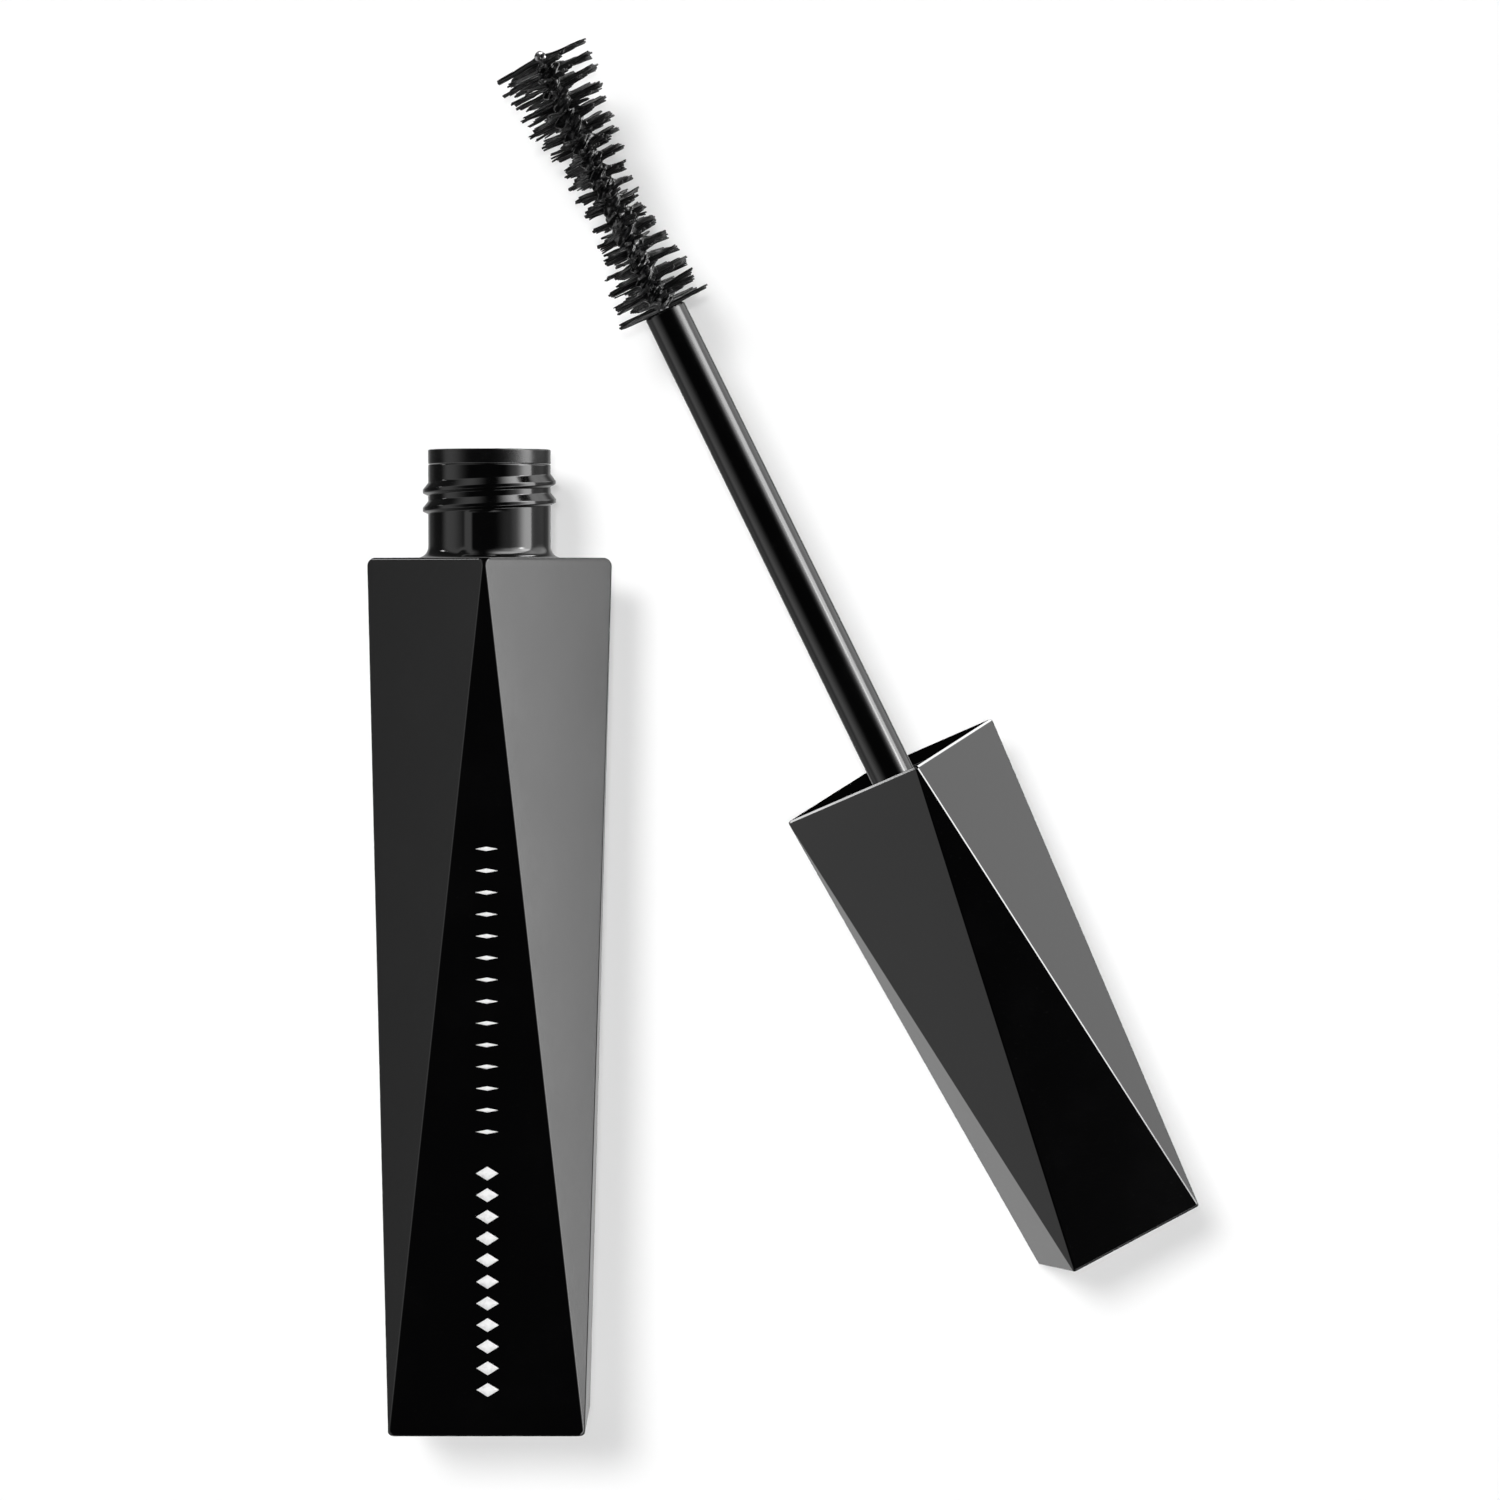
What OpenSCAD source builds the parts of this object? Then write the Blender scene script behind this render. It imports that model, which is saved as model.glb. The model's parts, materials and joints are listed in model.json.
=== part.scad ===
// Faceted mascara tube lying open on a table, with its applicator beside it.
// The bottle and the cap are square antiprisms: each end square is turned 45 degrees
// from the other, so the sides are eight long triangles.

/* [Bottle] */
// Height of the faceted body, base to shoulder
body_h = 78; // [60:1:100]
// Side of the base square, flat to flat
base_side = 17.5; // [16:0.5:22]
// Side of the shoulder square, flat to flat
shoulder_side = 15.7; // [15.6:0.1:20]
// Radius that rounds the body's edges
body_edge_r = 0.3; // [0.2:0.1:1.2]
// Neck height above the shoulder, with the wiper's flange
neck_h = 9.7; // [8.5:0.1:12]
// Outside diameter of the neck
neck_d = 11; // [10:0.1:11.4]
// Outside diameter of the thread
thread_d = 12; // [11.6:0.1:12.2]
// Thread pitch
thread_pitch = 1.65; // [1.5:0.05:2.2]
// Length of the thread in turns
thread_turns = 1.7; // [1:0.1:2]

/* [Wiper] */
// Thickness of the flange that caps the neck
flange_h = 1.3; // [0.8:0.1:1.6]
// Orifice that scrapes the rod
orifice_d = 4.3; // [4.1:0.05:4.8]
// Depth of the insert below the neck's top
wiper_depth = 9.5; // [8:0.5:12]

/* [Cap] */
// Length of the cap, rim to closed end
cap_h = 47; // [40:1:60]
// Side of the square rim
rim_side = 15; // [14.6:0.1:16]
// Side of the square closed end
crown_side = 13; // [10:0.5:15]
// Radius that rounds the cap's edges
cap_edge_r = 0.25; // [0.2:0.05:0.5]

/* [Applicator] */
// Diameter of the rod
rod_d = 4; // [3.5:0.1:4]
// Distance from the cap's rim to the start of the brush
brush_start = 46; // [40:1:50]
// Length of the brush
brush_len = 25; // [20:0.5:30]
// Diameter of the brush at both ends
brush_end_d = 9.4; // [7:0.1:10]
// Diameter of the brush at its waist
brush_waist_d = 5.8; // [4.5:0.1:8]
// Number of bristle rows along the wire
bristle_rows = 14; // [8:1:18]

/* [Placing on the table] */
// How far the applicator leans from the bottle's own line
lean = 26.2; // [20:0.1:35]
// Roll of the cap about its own length
cap_roll = 11; // [0:1:20]
// Centre of the cap's rim, across the table
rim_x = 36; // [34:1:60]
// Centre of the cap's rim, along the table
rim_y = 32.9; // [30:0.1:40]

/* [Hidden] */
$fn = 64;
eps = 0.01;
ball_fn = 32;
right_angle = 90;
half_corner = 45;
base_y = -26;

// Bottle: the rounded corners' centres, the cavity and the lie on the table
base_core = base_side / 2 - body_edge_r;
shoulder_core = (shoulder_side / 2 - body_edge_r) * sqrt(2);
body_core_h = body_h - 2 * body_edge_r;
bottle_tilt = atan((shoulder_core - base_core) / body_core_h);
bottle_axis_z = body_edge_r + base_core * cos(bottle_tilt) - body_edge_r * sin(bottle_tilt);
neck_r = neck_d / 2;
neck_bore_r = 4.3;
neck_fillet_r = 1;
cavity_floor = 1.8;
cavity_base_r = 7.3;
cavity_top_r = 6.4;
cavity_top_z = body_h - 1.6;
thread_height = thread_d / 2 - neck_r;
thread_root = 0.95;
thread_crest = 0.35;
thread_start_z = body_h + 4.14;
thread_start_angle = 150;
thread_steps = 24;

// Wiper and cream
wiper_wall = 0.8;
wiper_gap = 0.02;
wiper_outer_r = neck_bore_r - wiper_gap;
wiper_inner_r = wiper_outer_r - wiper_wall;
lip_h = 2.2;
lip_wall = 0.5;
cream_gap = 0.05;
cream_track_r = 4.6;
cream_floor = 3;
cream_top_z = body_h - 4.5;

// Cap: the rounded corners' centres, the inside and the lie on the table
rim_core = (rim_side / 2 - cap_edge_r) * sqrt(2);
crown_core = (crown_side / 2 - cap_edge_r) * sqrt(2);
cap_core_h = cap_h - 2 * cap_edge_r;
rim_drop = rim_core * cos(cap_roll);
crown_drop = crown_core * cos(half_corner - cap_roll);
cap_tilt = atan((rim_drop - crown_drop) / cap_core_h);
cap_axis_z = cap_edge_r + rim_drop * cos(cap_tilt) + cap_edge_r * sin(cap_tilt);
shell_wall = 0.7;
inner_cap_start = 1;
inner_cap_h = 16;
inner_cap_r = 6.75;
socket_r = 6.15;
socket_top = 11;
rod_seat_r = 2.8;
shell_bore_r = inner_cap_r + 0.02;
hollow_r = 5.2;
crown_wall = 1.6;
washer_h = 0.8;
washer_outer_r = socket_r - 0.25;
washer_bore_r = rod_d / 2 + 0.08;
washer_top = socket_top - 0.05;
rod_flange_h = 1;
rod_flange_r = rod_seat_r - 0.02;
rod_top = inner_cap_start + inner_cap_h + rod_flange_h;
rod_tip_r = rod_d / 2 - 0.08;
wire_r = 0.55;
wire_depth = 8;
wire_tip = 0.6;
bristle_bore_r = wire_r + 0.02;
sleeve_r = bristle_bore_r + 0.15;
row_h = 0.35;

// Puts the upright bottle on its back, with the neck along +Y
module lay_bottle() {
    translate([0, base_y, bottle_axis_z])
        rotate([bottle_tilt - right_angle, 0, 0])
            children();
}

// Puts the upright applicator (rim at 0, closed end up) on the table beside the bottle
module lay_applicator() {
    translate([rim_x, rim_y, cap_axis_z])
        rotate([0, 0, 180 + lean])
            rotate([-right_angle - cap_tilt, 0, 0])
                rotate([0, 0, -cap_roll])
                    children();
}

// A body with a square end and another square end turned 45 degrees, with round edges.
// Core distances are to the corners' centres; turned says which end has a corner in front.
module faceted_body(height, edge_r, low_core, high_core, low_turn, high_turn) {
    hull() {
        for (side = [0:3]) {
            rotate([0, 0, side * right_angle + low_turn])
                translate([low_core, 0, edge_r])
                    sphere(r = edge_r, $fn = ball_fn);
            rotate([0, 0, side * right_angle + high_turn])
                translate([high_core, 0, height - edge_r])
                    sphere(r = edge_r, $fn = ball_fn);
        }
    }
}

// One point of a helical ridge's section: the angle runs with the step, the height with both
function ridge_point(step, radius, z, pitch) =
    let (angle = step * 360 / thread_steps)
    [radius * cos(angle), radius * sin(angle), z + pitch * step / thread_steps];

// A helical ridge that stands out of (or, with a smaller crest, into) a round wall and
// fades into it at both ends
module helical_ridge(root_r, crest_r, turns, pitch, root_w, crest_w) {
    steps = round(turns * thread_steps);
    fade_steps = 4;
    points = [
        for (step = [0:steps])
            let (
                fade = min(1, min(step, steps - step) / fade_steps),
                crest = root_r + (crest_r - root_r) * max(fade, 0.12)
            )
            for (corner = [
                [root_r + sign(root_r - crest_r) * 0.25, -root_w / 2],
                [crest, -crest_w / 2],
                [crest, crest_w / 2],
                [root_r + sign(root_r - crest_r) * 0.25, root_w / 2]
            ])
                ridge_point(step, corner[0], corner[1], pitch)
    ];
    sides = [
        for (step = [0:steps - 1], corner = [0:3])
            let (next = (corner + 1) % 4)
            for (triangle = [
                [step * 4 + corner, step * 4 + next, step * 4 + 4 + next],
                [step * 4 + corner, step * 4 + 4 + next, step * 4 + 4 + corner]
            ])
                crest_r > root_r ? triangle : [triangle[2], triangle[1], triangle[0]]
    ];
    last = steps * 4;
    ends = crest_r > root_r
        ? [[3, 2, 1, 0], [last, last + 1, last + 2, last + 3]]
        : [[0, 1, 2, 3], [last + 3, last + 2, last + 1, last]];
    polyhedron(points = points, faces = concat(sides, ends), convexity = 6);
}

// The concave collar where the neck grows out of the shoulder
module neck_collar() {
    rotate_extrude()
        translate([0, body_h])
            difference() {
                translate([neck_bore_r + 0.5, -body_edge_r])
                    square([neck_r + neck_fillet_r - neck_bore_r - 0.5, neck_fillet_r + body_edge_r]);
                translate([neck_r + neck_fillet_r, neck_fillet_r])
                    circle(r = neck_fillet_r);
            }
}

// The stop beside the thread that lines the closed cap's facets up with the body's
module stop_lug() {
    lug_w = 2;
    lug_h = 4.3;
    lug_reach = 0.42;
    lug_angle = 262;
    rotate([0, 0, lug_angle])
        translate([neck_r - 0.4, -lug_w / 2, body_h - eps])
            cube([0.4 + lug_reach, lug_w, lug_h]);
}

// Outline of the cavity, from the floor to just past the neck's top
module cavity_outline() {
    floor_r = 2;
    translate([0, cavity_floor])
        polygon([
            [0, 0],
            [cavity_base_r - floor_r, 0],
            for (turn = [0:15:right_angle])
                [cavity_base_r - floor_r + floor_r * sin(turn), floor_r - floor_r * cos(turn)],
            [cavity_top_r, cavity_top_z - cavity_floor - 1.5],
            [neck_bore_r, cavity_top_z - cavity_floor],
            [neck_bore_r, body_h + neck_h - cavity_floor],
            [0, body_h + neck_h - cavity_floor]
        ]);
}

module bottle() {
    color([0.03, 0.03, 0.033])
        lay_bottle() {
            difference() {
                union() {
                    faceted_body(body_h, body_edge_r, base_core * sqrt(2), shoulder_core, half_corner, 0);
                    translate([0, 0, body_h - body_edge_r])
                        cylinder(r = neck_r, h = body_edge_r + neck_h - flange_h);
                    neck_collar();
                    stop_lug();
                }
                rotate_extrude()
                    cavity_outline();
            }
            translate([0, 0, thread_start_z])
                rotate([0, 0, thread_start_angle])
                    helical_ridge(neck_r, thread_d / 2, thread_turns, thread_pitch, thread_root, thread_crest);
        }
}

// The soft insert pressed into the neck: flange, tube and a cone that ends at the orifice
module wiper() {
    top = body_h + neck_h;
    color([0.08, 0.08, 0.085])
        lay_bottle()
            rotate_extrude()
                translate([0, top])
                    polygon([
                        [wiper_inner_r, 0],
                        [neck_r, 0],
                        [neck_r, -flange_h + wiper_gap],
                        [wiper_outer_r, -flange_h + wiper_gap],
                        [wiper_outer_r, -wiper_depth + lip_h],
                        [orifice_d / 2 + lip_wall, -wiper_depth],
                        [orifice_d / 2, -wiper_depth],
                        [wiper_inner_r, -wiper_depth + lip_h + 0.4]
                    ]);
}

// The thick product that clings to the walls, with the hollow that the brush leaves in it
module mascara_cream() {
    low_r = cavity_base_r - 0.35;
    high_r = cavity_top_r + 0.05;
    color([0.01, 0.01, 0.012])
        lay_bottle()
            rotate_extrude()
                polygon([
                    [0, cavity_floor + cream_gap],
                    [cavity_base_r - 2.1, cavity_floor + cream_gap],
                    [low_r, cavity_floor + 2.1],
                    [high_r, cream_top_z],
                    [cream_track_r, cream_top_z],
                    [cream_track_r, cavity_floor + cream_floor],
                    [0, cavity_floor + cream_floor]
                ]);
}

// The ring that seals the neck; it sits round the rod under the inner cap's ceiling
module sealing_washer() {
    color([0.55, 0.55, 0.57])
        lay_applicator()
            translate([0, 0, washer_top - washer_h])
                difference() {
                    cylinder(r = washer_outer_r, h = washer_h);
                    translate([0, 0, -eps])
                        cylinder(r = washer_bore_r, h = washer_h + 2 * eps);
                }
}

// The decorative over-cap: a square mouth, a round seat for the inner cap and a hollow crown
module cap_shell() {
    mouth_core = rim_side / 2 - shell_wall;
    color([0.035, 0.035, 0.04])
        lay_applicator()
            difference() {
                faceted_body(cap_h, cap_edge_r, rim_core, crown_core, 0, half_corner);
                rotate([0, 0, half_corner])
                    translate([-mouth_core, -mouth_core, -eps])
                        cube([2 * mouth_core, 2 * mouth_core, inner_cap_start + eps]);
                translate([0, 0, -eps])
                    cylinder(r = shell_bore_r, h = inner_cap_start + inner_cap_h + 2 * eps);
                cylinder(r = hollow_r, h = cap_h - crown_wall);
            }
}

// The threaded liner pressed into the shell, with the rod's seat through its ceiling
module inner_cap() {
    ceiling_h = inner_cap_h - socket_top;
    color([0.05, 0.05, 0.055])
        lay_applicator() {
            translate([0, 0, inner_cap_start])
                difference() {
                    cylinder(r = inner_cap_r, h = inner_cap_h);
                    translate([0, 0, -eps])
                        cylinder(r = socket_r, h = socket_top - inner_cap_start + eps);
                    cylinder(r = rod_d / 2 + 0.02, h = inner_cap_h + eps);
                    translate([0, 0, socket_top + 1])
                        cylinder(r = rod_seat_r, h = ceiling_h);
                }
            translate([0, 0, inner_cap_start + 2.9])
                helical_ridge(socket_r, socket_r - 0.5, 1.5, thread_pitch, 0.8, 0.3);
        }
}

// The rod, with the head that locks it in the inner cap
module rod() {
    head_start = inner_cap_start + socket_top + 1.02;
    color([0.06, 0.06, 0.065])
        lay_applicator()
            difference() {
                union() {
                    translate([0, 0, -brush_start])
                        cylinder(r1 = rod_tip_r, r2 = rod_d / 2, h = brush_start);
                    cylinder(r = rod_d / 2, h = rod_top);
                    translate([0, 0, head_start])
                        cylinder(r = rod_flange_r, h = rod_top - head_start);
                }
                translate([0, 0, -brush_start - eps])
                    cylinder(r = wire_r + 0.02, h = wire_depth + eps);
            }
}

// The twisted wire that holds the bristles; its plain outline is a pin with a round end
module brush_wire() {
    color([0.45, 0.45, 0.47])
        lay_applicator()
            translate([0, 0, -brush_start - brush_len - wire_tip]) {
                translate([0, 0, wire_r])
                    cylinder(r = wire_r, h = brush_len + wire_depth + wire_tip - wire_r - 0.05);
                translate([0, 0, wire_r])
                    sphere(r = wire_r);
            }
}

// Radius of the hourglass brush at a share of its length from the rod
function brush_r(share) =
    (brush_waist_d + (brush_end_d - brush_waist_d) * (1 + cos(360 * share)) / 2) / 2;

// The bristles: a sleeve round the wire with one thin disc for each row
module bristles() {
    row_gap = (brush_len - row_h) / (bristle_rows - 1);
    color([0.02, 0.02, 0.02])
        lay_applicator()
            translate([0, 0, -brush_start - brush_len])
                difference() {
                    union() {
                        cylinder(r = sleeve_r, h = brush_len - 0.1);
                        for (row = [0:bristle_rows - 1])
                            translate([0, 0, row * row_gap * (brush_len - 0.1) / brush_len])
                                cylinder(r = brush_r(row / (bristle_rows - 1)), h = row_h);
                    }
                    translate([0, 0, -eps])
                        cylinder(r = bristle_bore_r, h = brush_len + 2 * eps);
                }
}

bottle();
wiper();
mascara_cream();
sealing_washer();
cap_shell();
inner_cap();
rod();
brush_wire();
bristles();
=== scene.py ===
"""Faceted mascara tube: the visible pieces of the bottle, the cap, the rod and the brush.

Every piece is a surface worked out in the upright frame of its own body (millimetres, Z up along the tube)
and then laid on the table with that body's seat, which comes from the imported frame.
"""

import json
import math

import bpy
import numpy as np
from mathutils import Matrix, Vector
from bpy.props import FloatProperty, FloatVectorProperty, IntProperty, PointerProperty


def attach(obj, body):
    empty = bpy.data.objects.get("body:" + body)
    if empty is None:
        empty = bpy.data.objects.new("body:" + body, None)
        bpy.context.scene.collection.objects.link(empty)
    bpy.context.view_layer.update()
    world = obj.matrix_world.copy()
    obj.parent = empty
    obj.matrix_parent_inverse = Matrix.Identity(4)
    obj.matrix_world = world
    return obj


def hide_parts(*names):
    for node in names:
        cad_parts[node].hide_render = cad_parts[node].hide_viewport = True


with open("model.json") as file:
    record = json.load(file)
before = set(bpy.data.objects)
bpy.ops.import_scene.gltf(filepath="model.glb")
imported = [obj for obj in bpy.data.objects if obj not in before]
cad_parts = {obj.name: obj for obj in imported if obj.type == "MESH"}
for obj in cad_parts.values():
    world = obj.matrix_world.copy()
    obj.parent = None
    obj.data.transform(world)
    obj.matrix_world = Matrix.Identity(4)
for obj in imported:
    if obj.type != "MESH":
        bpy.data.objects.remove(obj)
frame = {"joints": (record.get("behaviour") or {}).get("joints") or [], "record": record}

bl_info = {
    "name": "Faceted mascara tube",
    "version": (1, 0, 0),
    "blender": (4, 5, 0),
    "location": "3D View > Sidebar > Mascara",
    "description": "Makes the bottle, wiper, cap, rod and brush of a faceted mascara tube",
    "category": "Add Mesh",
}

MM = 0.001
COLUMNS = 240
FACETS = 8
TURN = 2 * math.pi
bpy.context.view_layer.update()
MOUNTS = {mount["name"]: mount for mount in frame["record"]["mounts"]}
JOINTS = {joint["name"]: joint for joint in frame["joints"]}
CAP_ENDS = MOUNTS["crown_face"]["pos_m"], JOINTS["cap_turn"]["pos_m"]
CAP_LENGTH = float(np.linalg.norm(np.subtract(*CAP_ENDS)) / MM)

# Heights and radii inside the cap, in millimetres from the centre of its rim.
LINER_LOW, LINER_TOP, LINER_RADIUS = 1.0, 17.0, 6.75
CEILING_LOW, CEILING_TOP = 11.0, 12.0
HEAD_RADIUS, HEAD_TOP = 2.8, 18.0

# The studio's soft lights: azimuth, elevation, inner and outer angle in degrees, and strength.
STUDIO_LIGHTS = (
    (17.5, 22.6, 3.5, 6.5, 16.0),
    (29, 9, 6, 12, 4.0),
    (30, 28, 4, 20, 3.0),
    (222, -10, 18, 36, 0.35),
    (215, -50, 15, 35, 0.15),
    (30, -22, 10, 30, 1.6),
    (54, -4, 10, 26, 0.8),
    (149.5, -12, 3, 4.2, 14.0),
    (73, -39, 3, 6, 9.0),
)


# ---------------------------------------------------------------- seats and meshes


class Seat:
    """The upright frame of a body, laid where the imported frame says."""

    def __init__(self, origin, up, roll=0.0):
        """Takes the origin in metres, the direction of the local Z and the roll about it, in radians."""
        self.origin = np.array(origin, float)
        z_axis = np.array(up, float) / np.linalg.norm(up)
        front = np.array([0.0, 0.0, 1.0])
        front -= z_axis * front.dot(z_axis)
        y_axis = -front / np.linalg.norm(front)
        x_axis = np.cross(y_axis, z_axis)
        turned_x = math.cos(roll) * x_axis - math.sin(roll) * y_axis
        turned_y = math.sin(roll) * x_axis + math.cos(roll) * y_axis
        self.axes = np.array([turned_x, turned_y, z_axis])

    def points(self, local):
        """Local millimetres to metres in the shared frame."""
        return local.reshape(-1, 3) @ self.axes * MM + self.origin

    def directions(self, local):
        """Local directions to directions in the shared frame."""
        return local.reshape(-1, 3) @ self.axes


def bottle_seat():
    """The bottle stands on its base centre, and its neck points away from the base face."""
    base = MOUNTS["base_face"]
    return Seat(base["pos_m"], [-value for value in base["axis"]])


def applicator_seat(roll):
    """The applicator's origin is the centre of the cap's rim, and its Z points to the closed end."""
    turn = JOINTS["cap_turn"]
    return Seat(turn["pos_m"], [-value for value in turn["axis"]], roll)


def grid_quads(rows, columns, closed_columns=True):
    """The quads of a grid of rows by columns, joined round from the last column to the first."""
    row = np.arange(rows - 1)[:, None]
    column = np.arange(columns if closed_columns else columns - 1)[None, :]
    after = (column + 1) % columns
    corners = [row * columns + column, row * columns + after]
    corners += [(row + 1) * columns + after, (row + 1) * columns + column]
    return np.stack([np.broadcast_to(c, (rows - 1, column.size)) for c in corners], -1).reshape(-1, 4)


def repeated(quads, step, count):
    """The same quads for each of a count of like grids that follow each other, a step of points apart."""
    return (quads[None] + step * np.arange(count)[:, None, None]).reshape(-1, 4)


def weld(points, quads, normals=None):
    """Merges points that coincide and drops the faces, or the corners of faces, that this closes up.

    Returns the points, the quads and triangles left, the points' normals and the old number of each face.
    """
    _, first, inverse = np.unique(np.round(points, 5), axis=0, return_index=True, return_inverse=True)
    quads = inverse.reshape(-1)[quads]
    same = quads == np.roll(quads, -1, axis=1)
    lost = same.sum(axis=1)
    full = np.flatnonzero(lost == 0)
    full = full[(quads[full, 0] != quads[full, 2]) & (quads[full, 1] != quads[full, 3])]
    closing = np.flatnonzero(lost == 1)
    start = np.argmax(same[closing], axis=1)
    turn = (start[:, None] + np.array([1, 2, 3])) % 4
    triangles = np.take_along_axis(quads[closing], turn, axis=1)
    kept_normals = None if normals is None else normals[first]
    return points[first], quads[full], triangles, kept_normals, np.concatenate([full, closing])


def grid_normals(grid):
    """Normals of a grid that closes round its columns: across a column step by along a row step."""
    along_row = np.roll(grid, -1, axis=1) - np.roll(grid, 1, axis=1)
    along_column = np.gradient(grid, axis=0)
    normals = np.cross(along_row, along_column)
    lengths = np.linalg.norm(normals, axis=2, keepdims=True)
    return normals / np.maximum(lengths, 1e-12)


def mesh_object(name, points, quads, triangles=None, normals=None, material=None):
    """Makes a smooth mesh object at the origin from points in metres in the shared frame."""
    mesh = bpy.data.meshes.new(name)
    faces = quads.tolist() + ([] if triangles is None else triangles.tolist())
    mesh.from_pydata(points.tolist(), [], faces)
    mesh.polygons.foreach_set("use_smooth", np.ones(len(faces), bool))
    mesh.update()
    mesh.validate()
    if normals is not None:
        mesh.normals_split_custom_set_from_vertices(normals.tolist())
    made = bpy.data.objects.new(name, mesh)
    bpy.context.scene.collection.objects.link(made)
    if material is not None:
        mesh.materials.append(material)
    return made


def grid_object(name, grid, seat, material, normals=None, inside=None, inside_rows=0):
    """A closed grid surface as an object: welded at its poles, with its own normals.

    The faces of the first inside_rows rows take the inside material, where there is one.
    """
    rows, columns = grid.shape[:2]
    if normals is None:
        normals = grid_normals(grid)
    points, quads, triangles, kept, order = weld(
        grid.reshape(-1, 3), grid_quads(rows, columns), normals.reshape(-1, 3)
    )
    made = mesh_object(name, seat.points(points), quads, triangles, seat.directions(kept), material)
    if inside is not None:
        made.data.materials.append(inside)
        is_inside = order // columns < inside_rows
        made.data.polygons.foreach_set("material_index", is_inside.astype(np.int32))
    return made


def finish_piece(piece, body, slot, *nodes):
    """Rides a piece on its body and hides the nodes that it stands for.

    The big glossy pieces stay out of each other's gloss, so the studio's clean gradients show in them.
    """
    piece.visible_glossy = body == "applicator" and slot in ("cream", "bristle_fibre", "wire_steel")
    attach(piece, body)
    if nodes:
        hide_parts(*nodes)


# ---------------------------------------------------------------- profiles and rings


def arc(centre_r, centre_z, radius, start, end, steps=6):
    """Points (r, z) of an arc of a profile; the angles are in degrees from the outward direction."""
    angle = np.radians(np.linspace(start, end, steps + 1))
    return np.stack([centre_r + radius * np.cos(angle), centre_z + radius * np.sin(angle)], -1)


def joined(*parts):
    """Profiles, rings or normals that follow each other, as one array."""
    return np.concatenate(parts)


def line(*corners):
    """Points (r, z) of a profile's straight stretches."""
    return np.array(corners, float)


def wall(radius, heights):
    """Points (r, z) of a stretch of a profile with many rings: a radius, or one for each height."""
    return np.stack([np.broadcast_to(radius, heights.shape), heights], -1)


def ring_angles(columns=COLUMNS):
    """The angle of each column, once round the axis."""
    return np.arange(columns) * TURN / columns


def polar(radius, angle, height):
    """Points, or directions, at a distance from the axis, an angle round it and a height."""
    return np.stack(np.broadcast_arrays(radius * np.cos(angle), radius * np.sin(angle), height), -1)


def lifted(ring, height):
    """The points (x, y) of a ring, at one height."""
    return np.column_stack([ring, np.full(len(ring), height)])


def revolve(profile, columns=COLUMNS):
    """Turns a profile of (r, z) points round Z: each point becomes one ring of the grid."""
    return polar(profile[:, 0][:, None], ring_angles(columns), profile[:, 1][:, None])


def push_out(grid, amount):
    """Moves each point of a grid away from the axis by its own amount."""
    radius = np.hypot(grid[..., 0], grid[..., 1])
    grid[..., :2] *= ((radius + amount) / radius)[..., None]


def smooth_step(value, low, high):
    """0 below low, 1 above high, and a smooth S between them."""
    share = np.clip((value - low) / (high - low), 0, 1)
    return share * share * (3 - 2 * share)


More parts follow.
